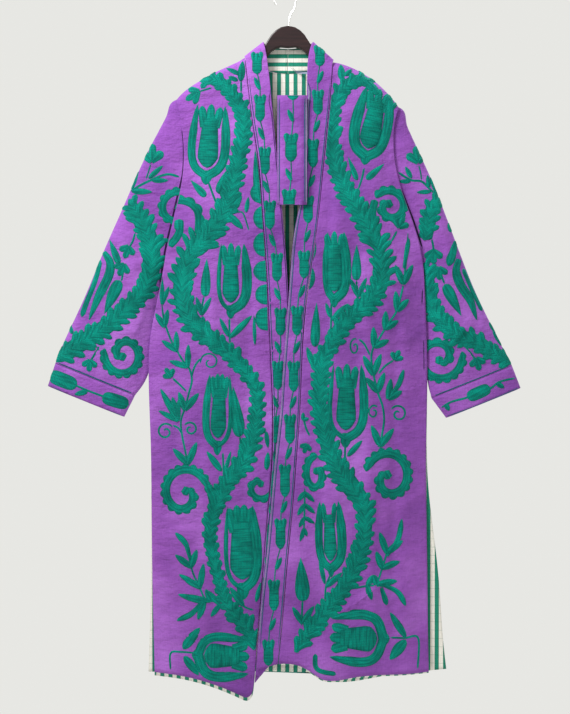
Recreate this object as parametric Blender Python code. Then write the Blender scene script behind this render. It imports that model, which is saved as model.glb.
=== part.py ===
"""A long kimono coat hanging flat on a wooden hanger, built from its cut pieces.

Tables are in millimetres. x runs to the right from the middle of the hanger, d runs down,
and y runs from the front of the coat (minus) to its back (plus). The origin is where the
hanger's hook bears on what holds it. World units are metres, +Z up.
"""
import math
from collections import namedtuple

import bmesh
import bpy
from mathutils import Vector

MM = 0.001
CROWN_X = -5.5
CROWN_D = 14.0

SEAM_GAP = 0.3
CLOTH = 2.0
LINING = 1.0
BAND = 3.2
BAND_LIFT = 6.0
SLEEVE_WALL = 2.0

HANGER_HALF = 7.0
ARM_ROUNDING = 2.4
WIRE_RADIUS = 1.8
HOOK_RADIUS = 21.0
STEM_CLEARANCE = 0.3
STEM_HOLE_LENGTH = 30.0
STEM_HOLE_RISE = 14.4

Point = namedtuple("Point", "at value")
Section = namedtuple("Section", "outer_x outer_d inner_x inner_d half_depth")
Turn = namedtuple("Turn", "free_x free_d free_y seam_x seam_d seam_y")
Ripple = namedtuple("Ripple", "x width height start_d")


def table(*pairs):
    return [Point(*pair) for pair in pairs]


# Outline of the body, x at each depth d
LEFT_EDGE = table((230, -220), (262, -212), (294, -205), (312, -202), (380, -204), (429, -216),
                  (472, -226), (527, -239), (612, -253), (708, -275), (782, -275), (919, -270),
                  (1135, -268), (1358, -263))
RIGHT_EDGE = table((244, 219), (270, 211), (295, 206), (312, 204), (380, 212), (429, 229),
                   (472, 246), (527, 264), (612, 270), (708, 274), (782, 275), (919, 272),
                   (1135, 274), (1358, 277))
BACK_LEFT_EDGE = LEFT_EDGE[:12] + table((1150, -270), (1358, -275))
BACK_RIGHT_EDGE = RIGHT_EDGE[:11] + table((930, 273), (988, 276), (1062, 284), (1143, 295),
                                          (1207, 300), (1290, 305), (1358, 313))

# Front band: its seam to the front and its free edge, x at each depth d
LEFT_SEAM = table((147, -84), (202, -78), (257, -72), (312, -63), (367, -55), (445, -50),
                  (570, -41), (751, -33), (858, -29), (933, -30), (1029, -38), (1225, -54),
                  (1390, -66))
LEFT_FREE = table((118, -47), (155, -40), (202, -35), (312, -25), (445, -12), (570, -2),
                  (751, 6), (858, 8), (933, 7), (1029, 0), (1225, -16), (1390, -30))
RIGHT_SEAM = table((155, 88), (202, 85), (312, 74), (394, 66), (445, 61), (496, 55), (570, 43),
                   (690, 29), (858, 22), (933, 16), (1029, 9), (1127, -1), (1225, -9), (1348, -21))
RIGHT_FREE = table((118, 43), (155, 38), (257, 37), (312, 36), (394, 30), (445, 22), (496, 11),
                   (570, 5), (690, -4), (764, -10), (858, -16), (933, -25), (1029, -33),
                   (1127, -42), (1225, -53), (1348, -61))
# The crease where the right front stands forward beside its band
RIGHT_CREASE = table((174, 104), (292, 96), (429, 93), (494, 85), (657, 83), (721, 82), (819, 78),
                     (1029, 73), (1225, 67), (1366, 61))
LEFT_CREASE = table((200, -150), (470, -165), (800, -150), (1100, -120), (1403, -92))

# Shoulder ridge with the back neckline, d at each x
RIDGE = table((-238, 257), (-216, 224), (-202, 211), (-186, 200), (-152, 180), (-123, 166),
              (-96, 154), (-84, 148), (-66, 160), (-38, 173), (0, 178), (40, 173), (70, 162),
              (88, 156), (112, 161), (145, 176), (176, 197), (201, 222), (215, 238), (236, 276))
# Hems, d at each x
BACK_HEM = table((-275, 1358), (-150, 1362), (-60, 1362), (52, 1362), (100, 1388), (142, 1379),
                 (217, 1366), (315, 1352))
LEFT_HEM = table((-263, 1358), (-237, 1359), (-205, 1362), (-148, 1377), (-102, 1393), (-80, 1403),
                 (-66, 1388), (-56, 1345), (-46, 1330), (-20, 1326))
RIGHT_HEM = table((-61, 1348), (-21, 1337), (6, 1334), (31, 1338), (50, 1350), (62, 1367),
                  (97, 1371), (127, 1364), (187, 1359), (277, 1356))
LEFT_LINING_DROP = 7.0
RIGHT_LINING_DROP = 3.0

# Half the depth of the hollow inside the coat, in the middle and at the sides
MIDDLE_DEPTH = table((120, 9.2), (220, 11), (300, 16), (450, 21), (700, 20), (1000, 17), (1400, 14))
SIDE_DEPTH = table((240, 9.6), (300, 11), (400, 15), (480, 15.5), (530, 14), (560, 9), (590, 4),
                   (625, 0.15), (1420, 0.15))
SIDE_BLEND = 85.0
NECK_HALF = 90.0
NECK_DEPTH = 9.8
NECK_TURN = 10.0
RIDGE_DEPTH = table((0, 0.15), (4, 4.2), (10, 8.6), (20, 10.5), (80, 30))

# Long soft folds that stand forward of the fronts and backward of the back
FRONT_RIPPLES = [Ripple(-92, 34, 11, 700), Ripple(-215, 30, 5, 900), Ripple(150, 36, 6, 850),
                 Ripple(225, 28, 5, 950), Ripple(-140, 40, 4, 300)]
BACK_RIPPLES = [Ripple(-180, 45, 8, 600), Ripple(-60, 50, 9, 500), Ripple(95, 45, 10, 650),
                Ripple(220, 40, 7, 600)]
RIPPLE_GROWTH = 520.0
CREASE_STEP = 9.0
CREASE_WIDTH = 7.0
CREASE_FALL = 95.0
CREASE_HALF = 4.0
SIDE_FADE = 40.0
TOP_FADE = 60.0
FRONT_SEAM_SHIFT = 1.2

# Where the right front laps over the left: it begins at this depth and this far across
LAP_START_D = 440.0
LAP_GROWTH = 130.0
LAP_START_X = 150.0
LAP_WIDTH = 90.0

LEFT_SLEEVE = [
    Section(-202, 230, -166, 440, 10.6),
    Section(-219, 239, -184, 466, 11.6),
    Section(-237, 258, -200, 494, 12.4),
    Section(-254, 287, -220, 524, 12.7),
    Section(-285, 344, -243, 550, 12),
    Section(-327, 445, -254, 592, 15),
    Section(-366, 529, -261.5, 640, 17),
    Section(-399, 614, -274, 690, 17),
    Section(-427, 672, -277, 740, 16),
    Section(-448, 716, -278, 779, 14),
    Section(-459, 749, -302, 813, 12.5),
    Section(-474, 794, -323, 855, 12),
]
RIGHT_SLEEVE = [
    Section(201, 240, 166, 450, 10.9),
    Section(217, 252, 184, 472, 11.9),
    Section(235, 278, 204, 494, 12.6),
    Section(254, 322, 230, 520, 12.9),
    Section(283, 383, 268, 552, 12),
    Section(320, 478, 271.5, 596, 14.5),
    Section(362, 593, 274, 655, 17),
    Section(393, 656, 276, 705, 17),
    Section(420, 710, 277, 760, 15.5),
    Section(434, 736, 277, 792, 13.5),
    Section(442, 754, 283, 818, 12.5),
    Section(459, 798, 312, 857, 12),
]
SLEEVE_SIDES = 18
SLEEVE_FLATNESS = 0.72

# The band's way round the neck, from the middle of the back to the top of the shoulder
LEFT_NECK = [
    Turn(0, 127, 11.6, 0, 176.6, 11.6),
    Turn(-18, 126, 11.6, -24, 174.6, 11.6),
    Turn(-33, 122.5, 11.6, -48, 167.2, 11.6),
    Turn(-42, 119, 10.6, -70, 154.2, 11.2),
    Turn(-46.5, 117, 6, -82, 147.0, 6.5),
    Turn(-48, 116, 0, -85, 144.5, 0),
    Turn(-48, 117, -6, -85, 145.5, -6.5),
    Turn(-47, 120.5, -10.8, -84, 149, -10.8),
]
RIGHT_NECK = [
    Turn(0, 127, 11.6, 0, 176.6, 11.6),
    Turn(17, 126, 11.6, 24, 174.6, 11.6),
    Turn(31, 122.5, 11.6, 50, 168.4, 11.6),
    Turn(39, 119, 10.6, 73, 158.0, 11.2),
    Turn(47, 117, 6, 86, 153.5, 6.5),
    Turn(49, 116, 0, 89, 151.5, 0),
    Turn(49, 117, -6, 89, 152.5, -6.5),
    Turn(46, 120.5, -10.8, 88, 156, -10.8),
]

# Wooden hanger, half outline from the middle outwards, and the hook's wire above it
ARM_TOP = table((0, 84), (14, 87), (24, 93), (34, 103), (44, 119), (49, 129), (57, 141), (68, 151))
ARM_DEPTH = table((0, 43), (39, 31), (68, 24), (120, 24), (195, 13))
ARM_BELOW_RIDGE = 13.5
ARM_STATIONS = (84, 102, 120, 136, 152, 168, 183, 195)
HOOK_STEM = [(2, 92), (2, 80), (2.5, 69), (6, 60), (11.5, 51), (14.6, 43)]
HOOK_TURNS = 12
HOOK_END = math.radians(205)

# Belt, folded into a hanging bundle
BELT_LEFT = -21.0
BELT_RIGHT = 37.0
BELT_TOP = 223.0
BELT_BOTTOM = 437.0
BELT_CLOTH = 2.4
BELT_LAYERS = 3
BELT_PITCH = 3.4
BELT_REST = 0.6
BELT_SPANS = 5
BELT_INSET = 3.0
BELT_TOP_STEP = 2.0
BELT_BOTTOM_STEP = 4.0

# Rows of points down a panel, and how the bands are laid over the fronts
TOP_STEPS = (0, 4, 10, 20, 44)
LOWER_ROWS = 17
BAND_STEP = 42.0
BAND_COLUMNS = 3
BAND_TOP_DROP = 14.0
BAND_TOP_SLANT = 20.0
BAND_LEAST_DEPTH = 9.4
BAND_REST = 0.4
HEM_LEVEL = 1340.0


def smooth(points, at):
    """Read a table at a value, through a curve that never overshoots its points."""
    if at <= points[0].at:
        return points[0].value
    if at >= points[-1].at:
        return points[-1].value
    index = next(i for i in range(len(points) - 1) if at <= points[i + 1].at)

    def rise(i):
        return (points[i + 1].value - points[i].value) / (points[i + 1].at - points[i].at)

    def slope(i):
        if i == 0 or i == len(points) - 1:
            return rise(min(i, len(points) - 2))
        before, after = rise(i - 1), rise(i)
        return 0.0 if before * after <= 0 else 2 * before * after / (before + after)

    low, high = points[index], points[index + 1]
    span = high.at - low.at
    s = (at - low.at) / span
    return ((2 * s ** 3 - 3 * s ** 2 + 1) * low.value + (s ** 3 - 2 * s ** 2 + s) * span * slope(index)
            + (3 * s ** 2 - 2 * s ** 3) * high.value + (s ** 3 - s ** 2) * span * slope(index + 1))


def ease(s):
    s = min(max(s, 0.0), 1.0)
    return s * s * (3 - 2 * s)


def world(x, y, d):
    return Vector(((x - CROWN_X) * MM, y * MM, (CROWN_D - d) * MM))


def material(name, colour, roughness, metallic=0.0):
    made = bpy.data.materials.new(name)
    made.use_nodes = True
    shader = made.node_tree.nodes["Principled BSDF"]
    shader.inputs["Base Color"].default_value = (*colour, 1)
    shader.inputs["Roughness"].default_value = roughness
    shader.inputs["Metallic"].default_value = metallic
    return made


def add_object(name, vertices, faces, look):
    mesh = bpy.data.meshes.new(name)
    mesh.from_pydata(vertices, [], faces)
    mesh.materials.append(look)
    tidy = bmesh.new()
    tidy.from_mesh(mesh)
    bmesh.ops.recalc_face_normals(tidy, faces=tidy.faces)
    tidy.to_mesh(mesh)
    tidy.free()
    mesh.shade_smooth()
    mesh.set_sharp_from_angle(angle=math.radians(50))
    made = bpy.data.objects.new(name, mesh)
    bpy.context.collection.objects.link(made)
    return made


def wall(name, outside, inside, look, ring=False):
    """Close two matching grids of points into one wall; a ring closes on itself."""
    rows, columns = len(outside), len(outside[0])
    vertices = [world(*p) for grid in (outside, inside) for row in grid for p in row]
    size = rows * columns

    def corner(side, row, column):
        return side * size + row * columns + column % columns

    faces = []
    spans = columns if ring else columns - 1
    for r in range(rows - 1):
        for c in range(spans):
            for side in (0, 1):
                a, b = corner(side, r, c), corner(side, r, c + 1)
                e, f = corner(side, r + 1, c + 1), corner(side, r + 1, c)
                faces += [[a, b, e], [a, e, f]]
    for c in range(spans):
        for r in (0, rows - 1):
            faces.append([corner(0, r, c), corner(1, r, c), corner(1, r, c + 1), corner(0, r, c + 1)])
    if not ring:
        for r in range(rows - 1):
            for c in (0, columns - 1):
                faces.append([corner(0, r, c), corner(0, r + 1, c),
                              corner(1, r + 1, c), corner(1, r, c)])
    return add_object(name, vertices, faces, look)


def hollow(x, d):
    """Half the depth of the space inside the coat."""
    to_side = min(x - smooth(BACK_LEFT_EDGE, d), smooth(BACK_RIGHT_EDGE, d) - x)
    side, middle = smooth(SIDE_DEPTH, d), smooth(MIDDLE_DEPTH, d)
    across = side + (middle - side) * ease(to_side / SIDE_BLEND)
    neck = NECK_DEPTH * ease((NECK_HALF - abs(x)) / NECK_TURN)
    return max(0.15, neck, min(across, smooth(RIDGE_DEPTH, d - smooth(RIDGE, x))))


def ripple(folds, x, d):
    return sum(f.height * ease((d - f.start_d) / RIPPLE_GROWTH)
               * math.exp(-((x - f.x) / f.width) ** 2) for f in folds)


def side_fade(x, d):
    to_side = min(x - smooth(LEFT_EDGE, d), smooth(RIGHT_EDGE, d) - x)
    return ease(to_side / SIDE_FADE)


def lift_left(x, d):
    """How far the left front stands forward of the hollow."""
    return ripple(FRONT_RIPPLES, x, d) * side_fade(x, d)


def lift_right(x, d):
    """The same for the right front, which laps over the left one and steps up at its crease."""
    crease = smooth(RIGHT_CREASE, d)
    past = x - crease
    step = CREASE_STEP * ease(past / CREASE_WIDTH + 0.5) * math.exp(-(max(past, 0) / CREASE_FALL) ** 2)
    lap = BAND_LIFT * ease((d - LAP_START_D) / LAP_GROWTH) * ease((LAP_START_X - x) / LAP_WIDTH)
    top = ease((d - smooth(RIDGE, x)) / TOP_FADE)
    folds = ripple(FRONT_RIPPLES, x, d)
    return (step * top + lap + folds) * side_fade(x, d)


def panel_rows(guides, counts, top, bottom):
    """Points (x, d) of a panel: columns run between the guide curves, rows from top to hem."""
    stations = []
    for index, count in enumerate(counts):
        stations += [(index, step / count) for step in range(count)]
    stations.append((len(counts) - 1, 1.0))

    def across(station, d):
        index, share = station
        low, high = guides[index](d), guides[index + 1](d)
        return low + (high - low) * share

    columns = []
    for station in stations:
        first, last = 250.0, 1350.0
        for _ in range(12):
            first = (first + top(across(station, first))) / 2
            last = (last + bottom(across(station, last))) / 2
        depths = [first + step for step in TOP_STEPS]
        depths += [depths[-1] + (last - depths[-1]) * (i + 1) / LOWER_ROWS for i in range(LOWER_ROWS)]
        columns.append([(across(station, d), d) for d in depths])
    return [list(row) for row in zip(*columns)]


def sheet(name, rows, side, inner, thickness, lift, look):
    """A cloth wall over the hollow: side -1 is the front, +1 the back."""
    def layer(offset):
        return [[(x, side * (hollow(x, d) + lift(x, d) + offset), d) for x, d in row] for row in rows]
    return wall(name, layer(inner + thickness), layer(inner), look)


def curve(points, shift=0.0):
    return lambda at: smooth(points, at) + shift


def make_fronts(cloth, stripe):
    outer = LINING + SEAM_GAP
    left_guides = [curve(LEFT_EDGE), curve(LEFT_CREASE), curve(LEFT_SEAM, -FRONT_SEAM_SHIFT)]
    right_guides = [curve(RIGHT_SEAM, FRONT_SEAM_SHIFT), curve(RIGHT_CREASE, -CREASE_HALF),
                    curve(RIGHT_CREASE, CREASE_HALF), curve(RIGHT_EDGE)]
    for name, guides, counts, hem, drop, lift in (
            ("left", left_guides, (5, 5), LEFT_HEM, LEFT_LINING_DROP, lift_left),
            ("right", right_guides, (2, 1, 7), RIGHT_HEM, RIGHT_LINING_DROP, lift_right)):
        rows = panel_rows(guides, counts, curve(RIDGE), curve(hem))
        sheet(f"front_{name}", rows, -1, outer, CLOTH, lift, cloth)
        lining_rows = rows[:-1] + [[(x, d + drop) for x, d in rows[-1]]]
        sheet(f"lining_front_{name}", lining_rows, -1, 0.0, LINING, lift, stripe)


def make_back(cloth, stripe):
    neck = [curve(table((0, x), (1400, x))) for x in
            (-NECK_HALF, NECK_TURN - NECK_HALF, NECK_HALF - NECK_TURN, NECK_HALF)]
    guides = [curve(BACK_LEFT_EDGE), *neck, curve(BACK_RIGHT_EDGE)]

    def lift(x, d):
        return ripple(BACK_RIPPLES, x, d) * side_fade(x, d)

    rows = panel_rows(guides, (5, 1, 5, 1, 6), curve(RIDGE), curve(BACK_HEM))
    sheet("back", rows, 1, LINING + SEAM_GAP, CLOTH, lift, cloth)
    sheet("lining_back", rows, 1, 0.0, LINING, lift, stripe)


def make_band(name, neck, free, seam, hem, lift, look):
    """The collar strip: round the neck from the middle of the back, then down the front edge."""
    across = BAND_COLUMNS
    middle_gap = math.copysign(SEAM_GAP / 2, neck[-1].free_x)
    lines = []
    for turn in neck:
        free_point = Vector((turn.free_x, turn.free_y, turn.free_d))
        seam_point = Vector((turn.seam_x, turn.seam_y, turn.seam_d))
        if turn is neck[0]:
            free_point.x = seam_point.x = middle_gap
        lines.append([free_point.lerp(seam_point, i / across) for i in range(across + 1)])
    first = neck[-1].seam_d + BAND_TOP_DROP
    first_free = first - BAND_TOP_SLANT
    last_free, last_seam = (smooth(hem, smooth(edge, HEM_LEVEL)) for edge in (free, seam))
    steps = round((last_seam - first) / BAND_STEP)
    for step in range(steps + 1):
        share = step / steps
        free_d = first_free + (last_free - first_free) * share
        seam_d = first + (last_seam - first) * share
        free_x, seam_x = smooth(free, free_d), smooth(seam, seam_d)
        line = []
        for i in range(across + 1):
            x = free_x + (seam_x - free_x) * i / across
            d = free_d + (seam_d - free_d) * i / across
            y = -(max(hollow(x, d), BAND_LEAST_DEPTH) + lift(x, d) + BAND_REST + BAND / 2)
            line.append(Vector((x, y, d)))
        lines.append(line)
    outside, inside = [], []
    for r, line in enumerate(lines):
        ahead, behind = lines[min(r + 1, len(lines) - 1)], lines[max(r - 1, 0)]
        out_row, in_row = [], []
        for c, p in enumerate(line):
            along = (ahead[c] - behind[c]).normalized()
            side = (line[min(c + 1, across)] - line[max(c - 1, 0)]).normalized()
            normal = along.cross(side).normalized() * math.copysign(1, neck[-1].free_x)
            out_row.append(tuple(p + normal * BAND / 2))
            in_row.append(tuple(p - normal * BAND / 2))
        outside.append(out_row)
        inside.append(in_row)
    wall(name, outside, inside, look)


def sleeve_ring(section, inset):
    """One flattened ring across a sleeve, drawn in from its outer surface by inset."""
    outer = Vector((section.outer_x, section.outer_d))
    inner = Vector((section.inner_x, section.inner_d))
    middle, half = (outer + inner) / 2, (outer - inner) / 2
    reach = (half.length - inset) / half.length
    ring = []
    for i in range(SLEEVE_SIDES):
        angle = 2 * math.pi * i / SLEEVE_SIDES
        c, s = math.cos(angle), math.sin(angle)
        c = math.copysign(abs(c) ** SLEEVE_FLATNESS, c)
        s = math.copysign(abs(s) ** SLEEVE_FLATNESS, s)
        at = middle + half * reach * c
        ring.append((at.x, (section.half_depth - inset) * s, at.y))
    return ring


def between(low, high, share):
    return Section(*(a + (b - a) * share for a, b in zip(low, high)))


def make_sleeve(side, sections, cloth):
    length = (Vector(sections[-1][:2]) - Vector(sections[-2][:2])).length
    cut = between(sections[-2], sections[-1], SEAM_GAP / length)
    for name, run in ((f"sleeve_{side}", sections[:-1]), (f"cuff_{side}", [cut, sections[-1]])):
        wall(name, [sleeve_ring(s, 0) for s in run], [sleeve_ring(s, SLEEVE_WALL) for s in run],
             cloth, ring=True)


def make_hanger(wood):
    """Flat wooden arms with rounded edges."""
    def top(x):
        ridge = smooth(RIDGE, x) + ARM_BELOW_RIDGE
        return smooth(ARM_TOP, abs(x)) if abs(x) <= ARM_TOP[-1].at else ridge

    right = [point.at for point in ARM_TOP] + list(ARM_STATIONS)
    stations = [-x for x in reversed(right)] + right[1:]
    outline = [(x, top(x)) for x in stations]
    outline += [(x, top(x) + smooth(ARM_DEPTH, abs(x))) for x in reversed(stations)]
    vertices = [world(x, y, d) for y in (-HANGER_HALF, HANGER_HALF) for x, d in outline]
    count = len(outline)
    faces = [list(range(count)), list(range(2 * count - 1, count - 1, -1))]
    faces += [[i, count + i, count + (i + 1) % count, (i + 1) % count] for i in range(count)]
    hanger = add_object("hanger", vertices, faces, wood)
    bevel = hanger.modifiers.new("rounded edges", "BEVEL")
    bevel.width = ARM_ROUNDING * MM
    bevel.segments = 2
    bevel.limit_method = "ANGLE"
    bevel.angle_limit = math.radians(60)


def make_hook(steel):
    """Round wire: out of the wood, bent to the right, then over the crown and down the left."""
    centre_x, centre_d = CROWN_X, CROWN_D - WIRE_RADIUS + HOOK_RADIUS
    path = [Vector((x, d)) for x, d in HOOK_STEM]
    for i in range(HOOK_TURNS + 1):
        angle = HOOK_END * i / HOOK_TURNS
        path.append(Vector((centre_x + HOOK_RADIUS * math.cos(angle),
                            centre_d - HOOK_RADIUS * math.sin(angle))))
    spline_data = bpy.data.curves.new("hook", "CURVE")
    spline_data.dimensions = "3D"
    spline_data.bevel_depth = WIRE_RADIUS * MM
    spline_data.bevel_resolution = 2
    spline_data.use_fill_caps = True
    spline = spline_data.splines.new("POLY")
    spline.points.add(len(path) - 1)
    for point, at in zip(spline.points, path):
        point.co = (*world(at.x, 0, at.y), 1)
    spline_data.materials.append(steel)
    hook = bpy.data.objects.new("hook", spline_data)
    bpy.context.collection.objects.link(hook)
    return hook


def drill_hanger():
    """A blind hole in the wood for the hook's stem."""
    stem = HOOK_STEM[0]
    bpy.ops.mesh.primitive_cylinder_add(vertices=12, radius=(WIRE_RADIUS + STEM_CLEARANCE) * MM,
                                        depth=STEM_HOLE_LENGTH * MM,
                                        location=world(stem[0], 0, stem[1] - STEM_HOLE_RISE))
    cutter = bpy.context.object
    cutter.name = "stem_hole_cutter"
    cutter.hide_render = True
    cutter.display_type = "WIRE"
    hanger = bpy.data.objects["hanger"]
    cut = hanger.modifiers.new("stem hole", "BOOLEAN")
    cut.operation = "DIFFERENCE"
    cut.object = cutter


def belt_seat(d):
    """How far forward the two bands stand behind the belt."""
    right, left = BELT_RIGHT - BELT_INSET, BELT_LEFT + BELT_INSET
    stand = max(hollow(right, d) + lift_right(right, d), hollow(left, d) + lift_left(left, d))
    return stand + BAND_REST + BAND


def make_belt(cloth):
    """The belt's strip folded to and fro in layers that hang against the bands."""
    half = BELT_CLOTH / 2
    path = []
    for layer in range(BELT_LAYERS):
        top = BELT_TOP + BELT_TOP_STEP * (BELT_LAYERS - layer)
        bottom = BELT_BOTTOM - BELT_BOTTOM_STEP * (BELT_LAYERS - 1 - layer)
        depths = [bottom + (top - bottom) * i / BELT_SPANS for i in range(BELT_SPANS + 1)]
        if layer % 2:
            depths.reverse()
        path += [(-(belt_seat(d) + BELT_REST + half + layer * BELT_PITCH), d) for d in depths]
    points = [Vector(p) for p in path]
    left, right = [], []
    for i, p in enumerate(points):
        before = (p - points[i - 1]).normalized() if i else None
        after = (points[i + 1] - p).normalized() if i < len(points) - 1 else None
        along = ((before or after) + (after or before)).normalized()
        normal = Vector((-along.y, along.x))
        turn = (before or after).dot(along)
        left.append(p + normal * half / turn)
        right.append(p - normal * half / turn)
    outside = [[(BELT_LEFT, y, d), (BELT_RIGHT, y, d)] for y, d in left]
    inside = [[(BELT_LEFT, y, d), (BELT_RIGHT, y, d)] for y, d in right]
    wall("belt", outside, inside, cloth)


def main():
    for old in list(bpy.data.objects):
        bpy.data.objects.remove(old)
    cloth = material("purple cotton", (0.36, 0.12, 0.50), 0.85)
    stripe = material("striped lining", (0.30, 0.55, 0.47), 0.85)
    wood = material("dark wood", (0.045, 0.018, 0.02), 0.35)
    steel = material("hook steel", (0.7, 0.7, 0.7), 0.25, 1.0)
    make_back(cloth, stripe)
    make_fronts(cloth, stripe)
    make_band("band_left", LEFT_NECK, LEFT_FREE, LEFT_SEAM, LEFT_HEM, lift_left, cloth)
    make_band("band_right", RIGHT_NECK, RIGHT_FREE, RIGHT_SEAM, RIGHT_HEM, lift_right, cloth)
    make_sleeve("left", LEFT_SLEEVE, cloth)
    make_sleeve("right", RIGHT_SLEEVE, cloth)
    make_hanger(wood)
    make_hook(steel)
    drill_hanger()
    make_belt(cloth)


main()
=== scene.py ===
"""A long kimono coat with raised wool embroidery, hung on a wooden hanger."""
import math
import random

import bmesh
import bpy
import numpy as np
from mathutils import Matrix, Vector
from mathutils.bvhtree import BVHTree


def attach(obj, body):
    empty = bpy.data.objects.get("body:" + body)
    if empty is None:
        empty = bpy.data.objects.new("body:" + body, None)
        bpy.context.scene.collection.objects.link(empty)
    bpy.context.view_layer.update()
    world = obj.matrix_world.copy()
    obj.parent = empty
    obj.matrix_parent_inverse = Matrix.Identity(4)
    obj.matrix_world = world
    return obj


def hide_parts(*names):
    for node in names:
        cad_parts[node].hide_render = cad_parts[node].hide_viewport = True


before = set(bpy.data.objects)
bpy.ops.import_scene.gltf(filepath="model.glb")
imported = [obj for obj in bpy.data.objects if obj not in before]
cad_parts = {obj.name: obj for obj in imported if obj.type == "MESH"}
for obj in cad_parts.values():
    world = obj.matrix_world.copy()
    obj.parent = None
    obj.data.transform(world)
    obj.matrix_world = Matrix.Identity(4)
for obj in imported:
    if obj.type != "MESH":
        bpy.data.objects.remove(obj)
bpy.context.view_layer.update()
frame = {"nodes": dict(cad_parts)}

# The drawing grid: x to the viewer's right, y down, from the coat's front.
STEP = 0.00196
GRID_X = 285.2
GRID_Y = -11.86
CENTRE = 285.0

# The stitching's materials, by slot. SHADE is painted shadow: dark stitching laid where shade falls
WOOL, LINE, PURPLE, SHADE, PIPING = 0, 1, 2, 3, 4
# How far a stitch's rim sinks into the cloth, and how far it stays in from a panel's edge, in metres
SINK = 0.0004
EDGE = 0.0008
# A stroke's least width at its ends, as a share
LEAST_WIDTH = 0.05


def to_world(grid):
    """World x and z of points on the drawing grid."""
    grid = np.asarray(grid, float)
    return (grid[..., 0] - GRID_X) * STEP, (GRID_Y - grid[..., 1]) * STEP


def unit(values):
    """Values held between 0 and 1."""
    return np.clip(values, 0, 1)


def add_object(name, data):
    """A new object in the scene."""
    obj = bpy.data.objects.new(name, data)
    bpy.context.scene.collection.objects.link(obj)
    return obj


# Wool rows and the links of their chain, the lining's stripes and the cloth's threads, in metres
ROW = 0.0019
CHAIN = 0.0032
STRIPE = 0.0164
THREAD = 0.0009
# Noise stretched into threads that lie across or hang down
THREADS_ACROSS = (60, 60, 900)
THREADS_DOWN = (900, 60, 60)
WHITE = (1.0, 1.0, 1.0)
TURN = 2 * math.pi


class Look:
    """A material as it is made: its nodes, its links and its shader."""

    def __init__(self, name, colour, roughness):
        self.material = bpy.data.materials.new(name)
        self.material.use_nodes = True
        self.material.diffuse_color = (*colour, 1)
        self.nodes = self.material.node_tree.nodes
        self.links = self.material.node_tree.links
        self.shader = self.nodes["Principled BSDF"]
        self.set("Base Color", colour)
        self.set("Roughness", roughness)

    def fill(self, socket, value):
        """Gives a socket a number, a colour or another node's output."""
        if isinstance(value, (int, float)):
            socket.default_value = value
        elif isinstance(value, tuple):
            socket.default_value = (*value, 1)
        else:
            self.links.new(value, socket)

    def set(self, name, value):
        """Fills one of the shader's sockets."""
        self.fill(self.shader.inputs[name], value)

    def scaled(self, vector, scale):
        """A vector, scaled."""
        made = self.nodes.new("ShaderNodeMapping")
        made.inputs["Scale"].default_value = scale
        self.links.new(vector, made.inputs["Vector"])
        return made.outputs["Vector"]

    def place(self, scale=(1, 1, 1)):
        """Object coordinates, scaled."""
        return self.scaled(self.nodes.new("ShaderNodeTexCoord").outputs["Object"], scale)

    def parts(self, vector):
        """A vector's three numbers."""
        made = self.nodes.new("ShaderNodeSeparateXYZ")
        self.links.new(vector, made.inputs[0])
        return made.outputs

    def noise(self, vector, scale, detail=3, rough=0.5):
        """Smooth noise from 0 to 1."""
        made = self.nodes.new("ShaderNodeTexNoise")
        made.inputs["Scale"].default_value = scale
        made.inputs["Detail"].default_value = detail
        made.inputs["Roughness"].default_value = rough
        self.links.new(vector, made.inputs["Vector"])
        return made.outputs["Fac"]

    def maths(self, kind, first, second=None, clamp=False):
        """One sum on sockets or numbers."""
        made = self.nodes.new("ShaderNodeMath")
        made.operation = kind
        made.use_clamp = clamp
        self.fill(made.inputs[0], first)
        if second is not None:
            self.fill(made.inputs[1], second)
        return made.outputs[0]

    def wave(self, kind, value, pitch):
        """A sine or cosine that repeats at a pitch."""
        return self.maths(kind, self.maths("MULTIPLY", value, TURN / pitch))

    def share(self, value, pitch):
        """How far a value is through its pitch, from 0 to 1."""
        return self.maths("FRACT", self.maths("DIVIDE", value, pitch))

    def ramp(self, factor, *stops):
        """Colours along a factor."""
        made = self.nodes.new("ShaderNodeValToRGB")
        elements = made.color_ramp.elements
        while len(elements) < len(stops):
            elements.new(0.5)
        for element, (position, colour) in zip(elements, stops):
            element.position = position
            element.color = (*colour, 1)
        self.links.new(factor, made.inputs["Fac"])
        return made.outputs["Color"]

    def mix(self, factor, first, second, kind="MIX"):
        """Two colours mixed."""
        made = self.nodes.new("ShaderNodeMix")
        made.data_type = "RGBA"
        made.blend_type = kind
        factor_in, first_in, second_in = made.inputs[0], made.inputs[6], made.inputs[7]
        self.fill(factor_in, factor)
        self.fill(first_in, first)
        self.fill(second_in, second)
        return made.outputs[2]

    def times(self, first, second):
        """Two colours multiplied."""
        return self.mix(1.0, first, second, "MULTIPLY")

    def bump(self, height, distance, strength, before=None):
        """A bump, laid over an earlier one."""
        made = self.nodes.new("ShaderNodeBump")
        made.inputs["Distance"].default_value = distance
        made.inputs["Strength"].default_value = strength
        self.links.new(height, made.inputs["Height"])
        if before is not None:
            self.links.new(before, made.inputs["Normal"])
        return made.outputs["Normal"]

    def weave(self, distance, strength, before):
        """The bumps of plain-woven threads, over an earlier bump."""
        x, _, z = self.parts(self.place())
        height = self.maths("MULTIPLY", self.wave("SINE", x, THREAD), self.wave("SINE", z, THREAD))
        return self.bump(height, distance, strength, before)


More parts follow.
